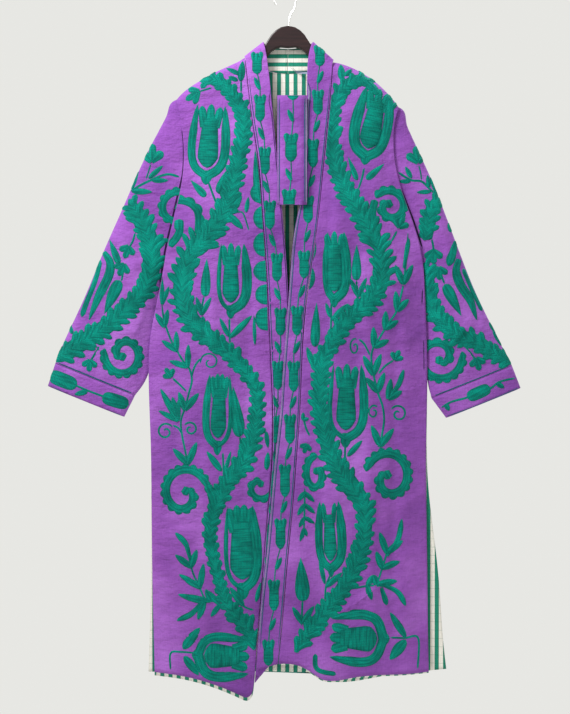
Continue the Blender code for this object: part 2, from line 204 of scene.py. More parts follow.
def make_cotton():
    """Purple plain-woven cotton, with slubs and a soft mottle."""
    look = Look("cotton_purple", (0.30, 0.09, 0.45), 0.86)
    mottle = look.ramp(look.noise(look.place(), 5, 3, 0.6), (0.30, (0.185, 0.050, 0.310)),
                       (0.50, (0.285, 0.083, 0.430)), (0.70, (0.410, 0.145, 0.590)))
    threads = look.maths("ADD", look.noise(look.place(THREADS_ACROSS), 1, 4, 0.6),
                         look.noise(look.place(THREADS_DOWN), 1, 4, 0.6))
    shade = look.ramp(look.maths("MULTIPLY", threads, 0.5), (0.30, (0.72, 0.70, 0.76)), (0.70, WHITE))
    look.set("Base Color", look.times(mottle, shade))
    look.set("Sheen Weight", 0.18)
    look.set("Sheen Roughness", 0.45)
    look.set("Sheen Tint", (0.80, 0.62, 0.95))
    look.set("Specular IOR Level", 0.2)
    crumple = look.bump(look.noise(look.place((26, 26, 44)), 1, 5, 0.55), 0.012, 0.8)
    look.set("Normal", look.weave(0.00012, 0.5, look.bump(threads, 0.0008, 0.7, crumple)))
    return look.material


def make_wool(name, dark, light, shade_and_outline):
    """Chain-stitched wool in rows, from the stitch map: across the row, then along it. The grooves between
    rows are darkened with painted shade, and the rims with a stitched outline and painted shade.
    """
    look = Look(name, light, 0.8)
    where = look.nodes.new("ShaderNodeUVMap")
    where.uv_map = "stitch"
    across, along, _ = look.parts(where.outputs["UV"])
    rows = look.wave("COSINE", across, ROW)
    slant = look.maths("ABSOLUTE", look.maths("SUBTRACT", look.share(across, ROW), 0.5))
    links = look.wave("SINE", look.maths("ADD", along, look.maths("MULTIPLY", slant, 2 * ROW)), CHAIN)
    height = look.maths("ADD", rows, look.maths("MULTIPLY", links, 0.45))
    fuzz = look.noise(look.place(), 900, 3, 0.7)
    streak = look.noise(look.scaled(where.outputs["UV"], (300, 22, 1)), 1, 2, 0.5)
    # The rim mask: stitches darken towards their rims, a stitched outline together with painted shade at the
    # dome's edge
    rim = look.nodes.new("ShaderNodeAttribute")
    rim.attribute_name = "rim"
    rim_outline_and_shade = look.maths("POWER", rim.outputs["Fac"], 6.0, clamp=True)
    patches = look.ramp(look.noise(look.place(), 28, 3, 0.6), (0.3, dark), (0.7, light))
    speckle = look.ramp(fuzz, (0.36, (0.66, 0.70, 0.74)), (0.60, WHITE))
    streaks = look.ramp(streak, (0.38, (0.50, 0.56, 0.60)), (0.55, WHITE))
    # Painted shade: the grooves between the rows darken towards the last, dark colour
    depth = look.maths("MULTIPLY", look.maths("SUBTRACT", 0.55, height), 0.42, clamp=True)
    shaded = look.mix(depth, look.times(look.times(patches, speckle), streaks), shade_and_outline)
    look.set("Base Color", look.mix(look.maths("MULTIPLY", rim_outline_and_shade, 0.9), shaded, shade_and_outline))
    look.set("Sheen Weight", 0.08)
    look.set("Sheen Roughness", 0.5)
    look.set("Sheen Tint", (0.10, 0.90, 0.70))
    look.set("Specular IOR Level", 0.10)
    stitches = look.bump(height, 0.0006, 0.8, look.bump(streak, 0.0016, 0.7))
    look.set("Normal", look.bump(fuzz, 0.0003, 0.5, stitches))
    return look.material


def make_lining(name, axis, cross):
    """Green and off-white yarn-dyed stripes with fine cross threads."""
    look = Look(name, (0.5, 0.6, 0.5), 0.85)
    spot = look.parts(look.place())
    stripes = look.ramp(look.share(spot[axis], STRIPE), (0.00, (0.010, 0.130, 0.085)),
                        (0.05, (0.012, 0.235, 0.150)), (0.44, (0.012, 0.235, 0.150)),
                        (0.48, (0.010, 0.110, 0.075)), (0.51, (0.80, 0.78, 0.70)), (0.98, (0.84, 0.82, 0.75)))
    bars = look.ramp(look.share(spot[cross], STRIPE), (0.00, (0.62, 0.74, 0.70)),
                     (0.04, (0.62, 0.74, 0.70)), (0.07, WHITE), (1.0, WHITE))
    wear = look.ramp(look.noise(look.place(THREADS_DOWN), 1, 4, 0.6), (0.3, (0.82, 0.82, 0.82)), (0.7, WHITE))
    look.set("Base Color", look.times(look.times(stripes, bars), wear))
    look.set("Sheen Weight", 0.1)
    look.set("Specular IOR Level", 0.2)
    crumple = look.bump(look.noise(look.place((30, 30, 30)), 1, 4, 0.5), 0.003, 0.3)
    look.set("Normal", look.weave(0.00015, 0.6, crumple))
    return look.material


def make_wood():
    """Dark walnut stain under satin varnish, its grain along the arms."""
    look = Look("wood_dark", (0.03, 0.014, 0.013), 0.38)
    grain = look.noise(look.place((9, 160, 160)), 1, 6, 0.65)
    look.set("Base Color", look.ramp(grain, (0.30, (0.008, 0.003, 0.004)), (0.55, (0.022, 0.009, 0.010)),
                                     (0.80, (0.048, 0.022, 0.020))))
    look.set("Roughness", look.ramp(grain, (0.3, (0.46, 0.46, 0.46)), (0.7, (0.32, 0.32, 0.32))))
    look.set("Specular IOR Level", 0.25)
    look.set("Coat Weight", 0.12)
    look.set("Coat Roughness", 0.3)
    look.set("Normal", look.bump(grain, 0.0004, 0.4))
    return look.material


def make_steel():
    """Bright drawn wire, with fine marks round it."""
    look = Look("steel_wire", (0.72, 0.72, 0.70), 0.22)
    look.set("Metallic", 1)
    marks = look.noise(look.place((700, 700, 700)), 1, 3, 0.6)
    look.set("Base Color", look.ramp(marks, (0.3, (0.60, 0.60, 0.58)), (0.7, (0.80, 0.80, 0.78))))
    look.set("Roughness", look.ramp(marks, (0.3, (0.30, 0.30, 0.30)), (0.7, (0.18, 0.18, 0.18))))
    return look.material


COTTON = make_cotton()
# The last colour of each wool is its painted shade for the grooves, also used with a stitched outline at the
# rims
GREEN = make_wool("wool_green", (0.0, 0.235, 0.170), (0.0, 0.470, 0.340), (0.0, 0.075, 0.075))
BLUE = make_wool("thread_teal", (0.010, 0.120, 0.190), (0.020, 0.180, 0.260), (0.006, 0.040, 0.090))
# Painted shadow: dark purple stitching for the shade slot, laid along the armholes, in the pocket slits and
# at the left band's free edge
SHADOW = make_wool("thread_shadow", (0.040, 0.012, 0.075), (0.060, 0.020, 0.105), (0.020, 0.006, 0.040))
PALE = make_wool("piping_pale", (0.42, 0.46, 0.56), (0.56, 0.60, 0.70), (0.20, 0.22, 0.34))
LINING = make_lining("lining_striped", 0, 2)
COLLAR = make_lining("lining_collar", 2, 0)
WOOD = make_wood()
STEEL = make_steel()


def folds(table, x, z):
    """Ridges and troughs along straight lines."""
    total = np.zeros(len(x))
    for x0, y0, x1, y1, half, height in table:
        (ax, az), (bx, bz) = to_world((x0, y0)), to_world((x1, y1))
        dx, dz = bx - ax, bz - az
        length = math.hypot(dx, dz)
        along = ((x - ax) * dx + (z - az) * dz) / length
        side = ((x - ax) * -dz + (z - az) * dx) / length
        past = np.maximum(np.maximum(-along, along - length), 0)
        reach = half * STEP
        total += height * FOLD_GAIN * np.exp(-(side / reach) ** 2 - (past / (2.2 * reach)) ** 2)
    return total


def swell(x, z, seed):
    """A low uneven swell, in metres."""
    chance = random.Random(seed)
    total = np.zeros(len(x))
    for _ in range(SWELL_WAVES):
        turn = chance.uniform(0, math.pi)
        wave = chance.uniform(0.06, 0.22)
        phase = chance.uniform(0, 2 * math.pi)
        total += np.sin((x * math.cos(turn) + z * math.sin(turn)) * 2 * math.pi / wave + phase) * wave
    return total * SWELL_GAIN


# How far a fold or a swell stands out for each unit, in metres
FOLD_GAIN = 0.0026
SWELL_GAIN = 0.0045
SWELL_WAVES = 14

# Folds: x and y of two ends, half width and height, on the grid
FRONT_FOLDS = (
    (352, 285, 426, 286, 1.6, -1.5), (150, 443, 177, 446, 1.8, -1.5), (147, 576, 168, 582, 1.8, -1.4),
    (168, 582, 188, 581, 1.8, -1.4), (336, 616, 378, 586, 2.2, 1.9), (404, 346, 428, 353, 2.2, -1.6),
    (404, 393, 428, 386, 2.2, 1.5), (398, 423, 427, 430, 2.0, -1.5), (150, 292, 172, 300, 2.2, -1.4),
    (165, 528, 196, 516, 2.0, -1.2), (160, 640, 200, 634, 2.4, 1.2), (214, 300, 204, 620, 7.0, 1.8),
    (250, 260, 240, 640, 6.0, -1.4), (180, 240, 172, 500, 6.0, -1.2), (366, 240, 372, 640, 6.5, 1.8),
    (396, 330, 392, 640, 6.0, -1.6), (160, 360, 190, 352, 2.6, 1.4), (384, 512, 424, 500, 2.4, 1.2),
    (206, 492, 232, 488, 1.8, -0.9), (395, 226, 420, 236, 2.2, 1.2), (342, 508, 362, 502, 1.8, -0.9),
    (176, 130, 190, 200, 3.4, 1.2), (398, 130, 388, 200, 3.4, 1.2), (300, 560, 322, 570, 1.6, 0.9),
    (262, 300, 282, 306, 1.4, 0.8), (264, 352, 280, 348, 1.4, 0.8), (262, 398, 278, 402, 1.4, 0.8),
    (298, 470, 312, 474, 1.4, 0.8), (296, 530, 314, 526, 1.4, 0.8), (300, 330, 312, 334, 1.4, 0.7),
)
BACK_FOLDS = (
    (180, 250, 240, 258, 3.0, 1.6), (330, 244, 396, 236, 3.0, 1.6), (230, 250, 224, 640, 8.0, 2.2),
    (300, 160, 296, 640, 9.0, -1.8), (360, 260, 366, 640, 8.0, 2.0), (180, 420, 250, 414, 2.4, -1.4),
    (320, 470, 400, 476, 2.4, -1.4), (200, 560, 270, 566, 2.4, 1.2),
)
SLEEVE_FOLDS = (
    (70, 312, 102, 322, 1.8, -1.4), (116, 210, 136, 262, 3.4, 1.4), (136, 330, 146, 300, 2.6, 1.2),
    (150, 128, 162, 150, 2.2, -1.2), (444, 330, 430, 300, 2.6, 1.2), (470, 322, 452, 344, 2.0, 1.4),
    (488, 300, 474, 330, 1.8, -1.2), (440, 210, 452, 262, 3.4, 1.4), (415, 132, 428, 150, 2.2, -1.0),
    (96, 350, 104, 384, 2.0, 1.0), (470, 350, 478, 384, 2.0, 1.0),
)


def edges_of(obj, count=420):
    """Lowest and highest x at each height, as two functions of z."""
    points = read_points(obj)
    ends = np.zeros(len(obj.data.edges) * 2, int)
    obj.data.edges.foreach_get("vertices", ends)
    upper, lower = points[ends[0::2]], points[ends[1::2]]
    swap = upper[:, 2] < lower[:, 2]
    upper[swap], lower[swap] = lower[swap], upper[swap]
    levels = np.linspace(points[:, 2].min() + EDGE, points[:, 2].max() - EDGE, count)
    left, right = np.zeros(count), np.zeros(count)
    for i, level in enumerate(levels):
        crossing = (upper[:, 2] > level) & (lower[:, 2] <= level)
        a, b = upper[crossing], lower[crossing]
        x = b[:, 0] + (a[:, 0] - b[:, 0]) * (level - b[:, 2]) / (a[:, 2] - b[:, 2])
        left[i], right[i] = x.min(), x.max()
    return (lambda at: np.interp(at, levels, left)), (lambda at: np.interp(at, levels, right))


# How near points are one, which triangles join to quads, and what counts as a rim, in radians
WELD = 1e-5
FLAT_JOIN = 0.9
SHAPE_JOIN = 3.1
RIM_ANGLE = 1.0


def smooth_copy(name, node, levels):
    """The node's wall, smoothed between its points, with its rims kept sharp."""
    bm = bmesh.new()
    bm.from_mesh(frame["nodes"][node].data)
    bmesh.ops.remove_doubles(bm, verts=bm.verts, dist=WELD)
    bmesh.ops.join_triangles(bm, faces=bm.faces, angle_face_threshold=FLAT_JOIN,
                             angle_shape_threshold=SHAPE_JOIN)
    crease = bm.edges.layers.float.new("crease_edge")
    for edge in bm.edges:
        if len(edge.link_faces) != 2 or edge.calc_face_angle(0) > RIM_ANGLE:
            edge[crease] = 1.0
    mesh = bpy.data.meshes.new(name)
    bm.to_mesh(mesh)
    bm.free()
    mesh.materials.clear()
    obj = add_object(name, mesh)
    modifier = obj.modifiers.new("smooth", "SUBSURF")
    modifier.levels = modifier.render_levels = levels
    modifier.boundary_smooth = "PRESERVE_CORNERS"
    made = bpy.data.meshes.new_from_object(obj.evaluated_get(bpy.context.evaluated_depsgraph_get()))
    obj.modifiers.clear()
    obj.data = made
    made.name = name
    return obj


def read_points(obj):
    """The mesh's points as an array."""
    flat = np.zeros(len(obj.data.vertices) * 3)
    obj.data.vertices.foreach_get("co", flat)
    return flat.reshape(-1, 3)


def write_points(obj, points):
    """Moves the mesh's points."""
    obj.data.vertices.foreach_set("co", points.reshape(-1))
    obj.data.update()


def finish_piece(obj, nodes=()):
    """Shades smooth with sharp rims, rides on the body and stands for its nodes."""
    for face in obj.data.polygons:
        face.use_smooth = True
    obj.data.set_sharp_from_angle(angle=SHARP)
    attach(obj, "root")
    if nodes:
        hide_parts(*nodes)
    return obj


BACK_LEFT, BACK_RIGHT = edges_of(frame["nodes"]["back"])
# Where folds die out: near the back's sides, below the shoulders, and at a sleeve's rims
SIDE_FADE = 0.045
TOP_LEVEL = -0.16
TOP_FADE = 0.10
SLEEVE_FADE = 0.04
BODY_FADE = 0.03
CUFF_FADE = 0.05
SLEEVE_SWELL = 0.7
SHARP = math.radians(52)
# How far the lining lies behind the cloth, beyond its own wall
LINING_SINK = 0.0006
# The back's folds are shallower than the fronts'
BACK_OUT = 0.5
# The collar's inside: above this level, behind this depth, facing at least this far forwards
COLLAR_LOW = -0.20
COLLAR_FRONT = -0.004
COLLAR_FACING = -0.3
# Where a sleeve's head is filled out under the shoulder's corner: x, y and the shift, on the grid
SHOULDER_PUSHES = ((174.0, 106.0, -3.6, -2.6), (402.0, 113.0, 3.4, -2.0), (177.0, 101.0, -0.8, -2.4),
                   (399.5, 109.0, 1.0, -2.0))
SHOULDER_REACH = 0.017
# The seams between the sleeves and their cuffs
CUFF_SEAMS = (((53.8, 363.1), (133.9, 395.8)), ((513.5, 365.7), (432.4, 398.3)))
# How a sleeve's inner edge tucks behind the body, between two levels
TUCK_LOW = -0.795
TUCK_HIGH = -0.545
TUCK_REACH = 0.020
TUCK_IN = 0.0075
TUCK_BACK = 0.0075


def relief(points, table, seed):
    """How far cloth stands out of its plain shape at each point."""
    x, z = points[:, 0], points[:, 2]
    inside = np.minimum(x - BACK_LEFT(z), BACK_RIGHT(z) - x)
    fade = unit(inside / SIDE_FADE)
    top = unit((TOP_LEVEL - z) / TOP_FADE)
    return (folds(table, x, z) + swell(x, z, seed)) * fade * top


def sleeve_relief(points, left, right, seed):
    """The same for a sleeve, fading at its two long edges, at its cuff and inside the body."""
    x, z = points[:, 0], points[:, 2]
    inside = np.minimum(x - left(z), right(z) - x)
    outside = np.maximum(BACK_LEFT(z) - x, x - BACK_RIGHT(z))
    above = -past_seam(points)
    fade = unit(inside / SLEEVE_FADE) * unit(outside / BODY_FADE)
    fade *= unit(above / CUFF_FADE)
    return (folds(SLEEVE_FOLDS, x, z) + SLEEVE_SWELL * swell(x, z, seed)) * fade


def past_seam(points):
    """How far points lie past the seam between a sleeve and its cuff."""
    seam = CUFF_SEAMS[0] if points[:, 0].mean() < 0 else CUFF_SEAMS[1]
    (ax, az), (bx, bz) = to_world(seam[0]), to_world(seam[1])
    length = math.hypot(bx - ax, bz - az)
    way = -1.0 if bx > ax else 1.0
    return way * ((points[:, 2] - az) * (bx - ax) - (points[:, 0] - ax) * (bz - az)) / length


def dress(node, levels, table=None, seed=3, out=-1.0, sink=0.0):
    """A cloth piece from its node, with its folds, sunk towards the hanger's plane."""
    obj = smooth_copy(node + "_cloth", node, levels)
    points = read_points(obj)
    if table is not None:
        points[:, 1] += out * (relief(points, table, seed) - sink)
    write_points(obj, points)
    return obj


def tuck(points, left, right):
    """Passes a sleeve's inner edge behind the body."""
    sign = -1.0 if points[:, 0].mean() < 0 else 1.0
    inner = (points[:, 0] - (right if sign < 0 else left)(points[:, 2])) * sign
    level = (points[:, 2] - TUCK_LOW) / (TUCK_HIGH - TUCK_LOW)
    share = unit(level * 4) * unit((1 - level) * 4)
    share *= np.exp(-(inner / TUCK_REACH) ** 2)
    points[:, 0] -= sign * TUCK_IN * share
    points[:, 1] = points[:, 1] * (1 - 0.5 * share) + TUCK_BACK * share


def dress_sleeve(node, levels, seed):
    """A sleeve or cuff, with folds on both its walls."""
    obj = smooth_copy(node + "_cloth", node, levels)
    points = read_points(obj)
    left, right = edges_of(obj)
    points[:, 1] += np.where(points[:, 1] < 0, -1.0, 1.0) * sleeve_relief(points, left, right, seed)
    if node.startswith("sleeve"):
        tuck(points, left, right)
    for x, y, shift_x, shift_y in SHOULDER_PUSHES:
        (at_x, at_z), (dx, dz) = to_world((x, y)), (shift_x * STEP, -shift_y * STEP)
        near = np.exp(-((points[:, 0] - at_x) ** 2 + (points[:, 2] - at_z) ** 2) / SHOULDER_REACH ** 2)
        points[:, 0] += dx * near
        points[:, 2] += dz * near
    write_points(obj, points)
    return obj


def line_collar(band):
    """The collar's inside, at the back of the neck, is lining with its stripes across."""
    band.data.materials.append(COLLAR)
    for face in band.data.polygons:
        if face.center.z > COLLAR_LOW and face.normal.y < COLLAR_FACING and face.center.y > COLLAR_FRONT:
            face.material_index = 1


def curve(points, step):
    """Points a step apart along a smooth curve through the given ones, with their distances."""
    points = np.array(points, float).reshape(-1, 2)
    if len(points) > 2:
        ends = np.vstack([2 * points[0] - points[1], points, 2 * points[-1] - points[-2]])
        t = np.linspace(0, 1, 12, endpoint=False)[:, None]
        parts = []
        for a, b, c, d in zip(ends, ends[1:], ends[2:], ends[3:]):
            parts.append(0.5 * (2 * b + (c - a) * t + (2 * a - 5 * b + 4 * c - d) * t ** 2
                                + (3 * b - a - 3 * c + d) * t ** 3))
        points = np.vstack(parts + [points[-1:]])
    along = np.concatenate([[0], np.cumsum(np.hypot(*np.diff(points, axis=0).T))])
    count = max(3, int(along[-1] / step) + 2)
    at = np.linspace(0, along[-1], count)
    return np.stack([np.interp(at, along, points[:, 0]), np.interp(at, along, points[:, 1])], 1), at


def scalloped(width, lobes):
    """A half width that swells in lobes along its way."""
    return lambda t: width * (0.34 + 0.34 * np.abs(np.sin(math.pi * lobes * t)) ** 0.7)


def spiral(x, y, start, turns, outer, inner, squash):
    """A path that winds in about a centre: start in degrees from the right, turns signed."""
    path = []
    for i in range(SPIRAL_STEPS + 1):
        t = i / SPIRAL_STEPS
        a = math.radians(start) + TURN * turns * t
        r = outer + (inner - outer) * t ** 1.25
        path.append((x + math.cos(a) * r * squash, y - math.sin(a) * r))
    return path


def read_design(text):
    """A design's rows: a word, then its numbers in groups parted by bars."""
    rows = []
    for word in text.split():
        if word[0].isalpha():
            rows.append([word, []])
        elif word == "|":
            rows[-1].append([])
        else:
            rows[-1][-1] += [float(part) for part in word.split(",")]
    return rows


def pad_shape(t):
    """An even pad with round ends."""
    return unit(1 - np.abs(2 * t - 1) ** 4) ** 0.5


def leaf_shape(t):
    """Pointed at the start's foot, full in the middle, blunt at the tip."""
    return unit(np.sin(math.pi * unit(t) ** 0.8)) ** 0.6


def bud_shape(t):
    """Round at the foot, widest low down, drawn to a point."""
    return unit(np.sin(math.pi * unit(t) ** 0.55)) ** 0.8


def barb_shape(t):
    """A narrower foot and a rounded tip."""
    return unit(0.6 + 0.7 * t) * unit((1 - t) * 4.5) ** 0.5


def blade_shape(t):
    """Broad from its foot, drawn to a soft point."""
    return unit(0.62 + 1.4 * t) * unit((1 - t) * 2.4) ** 0.55


def rope_shape(t):
    """Even, with short round ends."""
    return unit(np.minimum(t, 1 - t) * 14) ** 0.5


def cup_shape(t):
    """A tulip's body: round foot, full low down, slightly drawn in at the top."""
    return unit(t * 5) ** 0.5 * (1 - 0.28 * unit((t - 0.35) / 0.65))


def pot_shape(t):
    """A band's cup: round foot, full to its top."""
    return unit(t * 4) ** 0.5 * (1 - 0.08 * t)


def arm_shape(t):
    """A long petal from its tip: drawn to a blunt point, full at the foot."""
    return unit(t * 12) ** 0.5 * unit(0.34 + t * 2.0)


LEAVES = {"leaf": leaf_shape, "bud": bud_shape, "barb": barb_shape, "pad": pad_shape, "blade": blade_shape}
SPIRAL_STEPS = 28
SCALLOP = 4.5
# A vine's barbs: how far apart, how wide and at what angle, and its middle's share of its width
BARB_PITCH = 9.0
BARB_WIDTH = 7.0
BARB_LEAN = 36
SPINE = 0.80


class Drawing:
    """Raised stitches drawn flat on the grid, before they are laid on a panel."""

    def __init__(self, seed, mirror=None):
        self.chance = random.Random(seed)
        self.mirror = mirror
        self.points, self.lifts, self.maps, self.faces, self.slots, self.rims = [], [], [], [], [], []
        self.count = 0

    def stroke(self, path, left, right=None, shape=rope_shape, lift=1.7, slot=WOOL, across=5,
               step=1.7, satin=False, flat=2.0, lean=None):
        """One row of stitches along a path, left and right half widths in grid steps."""
        right = left if right is None else right
        path, along = curve(path, step)
        if self.mirror is not None:
            path[:, 0] = self.mirror - path[:, 0]
            left, right = right, left
        tangent = np.gradient(path, axis=0)
        tangent /= np.maximum(np.hypot(*tangent.T), 1e-6)[:, None]
        normal = np.stack([-tangent[:, 1], tangent[:, 0]], 1)
        t = along / along[-1]
        shown = (1 - SINK / (lift * 0.001)) ** (1 / flat)
        wide = np.maximum(shape(t), LEAST_WIDTH) / shown
        lefts = wide * (left(t) if callable(left) else left)
        rights = wide * (right(t) if callable(right) else right)
        a = np.linspace(-1, 1, across)
        offset = np.where(a[None, :] < 0, a[None, :] * lefts[:, None], a[None, :] * rights[:, None])
        dome = 1 - np.abs(a) ** flat
        full = unit((lefts + rights) / (0.5 * (lefts + rights).max())) ** 0.5
        jitter = self.chance.uniform(0.9, 1.1)
        points = path[:, None, :] + normal[:, None, :] * offset[..., None]
        lifts = (lift * jitter * 0.001) * dome[None, :] * full[:, None] - SINK
        u, v = offset * STEP, np.repeat(along[:, None] * STEP, across, 1)
        if lean is not None:
            turn, outer = math.radians(lean), np.abs(u)
            u, v = v * math.sin(turn) - outer * math.cos(turn), v * math.cos(turn) + outer * math.sin(turn)
        n = len(path)
        index = np.arange(n * across).reshape(n, across) + self.count
        faces = np.stack([index[:-1, :-1], index[1:, :-1], index[1:, 1:], index[:-1, 1:]], -1)
        self.points.append(points.reshape(-1, 2))
        self.lifts.append(lifts.reshape(-1))
        self.rims.append(np.repeat(np.abs(a)[None, :] / shown, n, 0).reshape(-1))
        self.maps.append(np.stack([v, u] if satin else [u, v], -1).reshape(-1, 2))
        self.faces.append(faces.reshape(-1, 4))
        self.slots.append(np.full(faces.shape[0] * faces.shape[1], slot))
        self.count += n * across

    def leaf(self, x0, y0, x1, y1, width, bend=0.0, shape=leaf_shape):
        """One leaf from its foot to its tip."""
        mx, my = (x0 + x1) / 2, (y0 + y1) / 2
        dx, dy = x1 - x0, y1 - y0
        middle = (mx - dy * bend, my + dx * bend)
        self.stroke([(x0, y0), middle, (x1, y1)], width * 0.56, shape=shape, step=1.4, lift=2.3)

    def stem(self, path, width=2.5):
        """A thin chain-stitched stem."""
        self.stroke(path, width / 2, lift=1.5, across=3, step=2.4)

    def line(self, path, width=1.5, slot=LINE):
        """A thin edging line."""
        self.stroke(path, width / 2, lift=1.0, across=3, step=4.0, slot=slot)

    def shade(self, path, width):
        """A thin dark line of painted shadow."""
        self.line(path, width, SHADE)

    def crease(self, path):
        """A pressed fold: a low ridge of the cloth."""
        self.line(path, 2.2, PURPLE)

    def welt(self, path):
        """A raised seam."""
        self.line(path, 2.4, PURPLE)

    def cord(self, path, half, lift):
        """A thick even row."""
        self.stroke(path, half, lift=lift)

    def petal(self, path, half, lift):
        """A long curved petal."""
        self.stroke(path, half, shape=blade_shape, lift=lift)

    def sprig(self, x, y, ax, ay, bx, by, width):
        """A forked pair of leaves: the foot, then the two tips."""
        self.leaf(x, y, ax, ay, width * 1.3, shape=blade_shape)
        self.leaf(x, y, bx, by, width * 1.3, shape=blade_shape)

    def flower(self, x, y, turn, size):
        """Three short lobes on a point, opening towards turn degrees (0 up, 90 right)."""
        for lean, reach in ((-48, 0.9), (0, 1.1), (48, 0.9)):
            a = math.radians(turn + lean)
            self.leaf(x, y, x + math.sin(a) * size * reach, y - math.cos(a) * size * reach, size * 0.50,
                      shape=barb_shape)

    def vine(self, path, *widths):
        """A feathered vine that grows along its path: share of the way, half width, and so on."""
        fine, along = curve(path, 1.0)
        total = along[-1]
        tangent = np.gradient(fine, axis=0)
        tangent /= np.hypot(*tangent.T)[:, None]
        at, half = np.array(widths[0::2]), np.array(widths[1::2])
        self.stroke(path, lambda t: SPINE * np.interp(t, at, half), lift=2.5, across=9, flat=2.6,
                    lean=BARB_LEAN)
        for i in range(int(total / BARB_PITCH)):
            for side in (-1, 1):
                s = (i + 0.25 + 0.5 * (side > 0)) * BARB_PITCH + self.chance.uniform(-0.5, 0.5)
                k = min(len(fine) - 1, int(s / total * (len(fine) - 1)))
                reach = np.interp(s / total, at, half) * self.chance.uniform(1.0, 1.3)
                a = math.radians(BARB_LEAN + self.chance.uniform(-6, 6))
                wide = BARB_WIDTH / 2 * self.chance.uniform(0.85, 1.15)
                tx, ty = tangent[k]
                nx, ny = -ty * side, tx * side
                x0, y0 = fine[k] - tangent[k] * 1.5
                run = reach / math.tan(a)
                middle = (x0 + tx * run * 0.55 + nx * reach * 0.42,
                          y0 + ty * run * 0.55 + ny * reach * 0.42)
                tip = (x0 + tx * run * 0.9 + nx * reach, y0 + ty * run * 0.9 + ny * reach)
                self.stroke([(x0, y0), middle, tip], wide, shape=barb_shape, lift=2.4, step=1.8)

    def tulip(self, x, y, turn, length, width, left, right, left_wide, right_wide, prongs=3):
        """A tulip from its foot: turn in degrees (0 up), then how far its side petals stand out and
        how wide they are."""
        a = math.radians(turn)
        up, side = (math.sin(a), -math.cos(a)), (math.cos(a), math.sin(a))

        def spot(s, c):
            return (x + up[0] * s + side[0] * c, y + up[1] * s + side[1] * c)

        body = length * 0.80
        self.stroke([spot(0, 0), spot(body * 0.5, 0), spot(body, 0)], width / 2, shape=cup_shape,
                    satin=True, across=9, lift=2.8, flat=4.0)
        for k in range(int(prongs)):
            c = (k - (prongs - 1) / 2) * width * 0.72 / max(prongs - 1, 1)
            tip = c * 1.25
            long = length * (1.0 if k in (0, prongs - 1) else 1.04)
            self.stroke([spot(body * 0.82, c * 0.8), spot(body, c), spot(long, tip)], width * 0.20,
                        shape=lambda t: unit((1 - t) * 4.0) ** 0.5, step=1.4)
        for sign, out, wide in ((-1, left, left_wide), (1, right, right_wide)):
            self.stroke([spot(length * 1.02, sign * (out * 0.80)), spot(length * 0.72, sign * out * 0.92),
                         spot(length * 0.38, sign * out), spot(length * 0.14, sign * out * 0.92),
                         spot(-length * 0.01, sign * out * 0.66), spot(-length * 0.10, sign * out * 0.22),
                         spot(-length * 0.13, 0)],
                        wide * 0.64, shape=arm_shape, lift=2.5, step=2.0)
        self.stroke([spot(-length * 0.04, 0), spot(-length * 0.28, 0)], width * 0.27, shape=blade_shape)

    def curl(self, x, y, start, turns, outer, inner, width, squash=1.0):
        """A thin tendril, wound from outside in."""
        self.stroke(spiral(x, y, start, turns, outer, inner, squash), width / 2, lift=1.3, across=3)

    def scroll(self, x, y, start, turns, outer, inner, width, squash=1.0):
        """A thick scroll with scallops on its outer side, wound from outside in."""
        path = spiral(x, y, start, turns, outer, inner, squash)
        length = curve(path, 1.0)[1][-1]
        outside = scalloped(width, max(4, round(length / (SCALLOP * 1.6))))
        plain = width * 0.44
        left, right = (plain, outside) if turns > 0 else (outside, plain)
        self.stroke(path, left, right, lift=2.0, across=7, step=1.1, flat=2.4)
        end = np.array(path[-1])
        inward = np.array((x, y)) - end
        inward /= np.hypot(*inward)
        self.stroke([end - inward * width * 0.3, end + inward * width * 0.7], width * 0.42, lift=2.4)

    def arch(self, path, width, lobes):
        """An arch with scallops on its outer side, to the left of its path."""
        self.stroke(path, scalloped(width, lobes), width * 0.44, lift=2.0, across=7, step=1.1, flat=2.4)

    def moon(self, x0, top, x1, bottom, wide, way):
        """A half-round pad on a seam. Way is -1 where it swells to the left."""
        def swelled(t):
            return wide * np.sqrt(unit(1 - (2 * t - 1) ** 2))

        flat_side = 0.4
        left, right = (flat_side, swelled) if way < 0 else (swelled, flat_side)
        self.stroke([(x0, top), ((x0 + x1) / 2, (top + bottom) / 2), (x1, bottom)], left, right,
                    shape=lambda t: unit(np.minimum(t, 1 - t) * 40) ** 0.5,
                    lift=2.0, across=7, satin=True, flat=3.0, step=1.4)

    def follow(self, design):
        """Draws a design's rows in turn."""
        for word, numbers, *rest in read_design(design):
            if word in LEAVES:
                self.leaf(*numbers, shape=LEAVES[word])
            elif word in WITH_PATH:
                WITH_PATH[word](self, numbers, *(rest[0] if rest else ()))
            else:
                WITH_NUMBERS[word](self, *numbers)

    def arrays(self):
        """All strokes as arrays."""
        return [np.concatenate(part) for part in
                (self.points, self.lifts, self.maps, self.rims, self.faces, self.slots)]


# What the words of a design draw, from a path and some numbers or from numbers alone
WITH_PATH = {"stem": Drawing.stem, "line": Drawing.line, "shade": Drawing.shade, "crease": Drawing.crease,
             "welt": Drawing.welt, "cord": Drawing.cord, "petal": Drawing.petal, "vine": Drawing.vine,
             "arch": Drawing.arch}
WITH_NUMBERS = {"tulip": Drawing.tulip, "sprig": Drawing.sprig, "flower": Drawing.flower,
                "scroll": Drawing.scroll, "curl": Drawing.curl, "moon": Drawing.moon}
# Where rays towards a panel start, and where a missed point looks for the nearest cloth, in metres
RAY_START = 0.2
NEAR_START = 0.01


def drawn(seed, *designs):
    """A drawing of some designs."""
    made = Drawing(seed)
    for design in designs:
        made.follow(design)
    return made


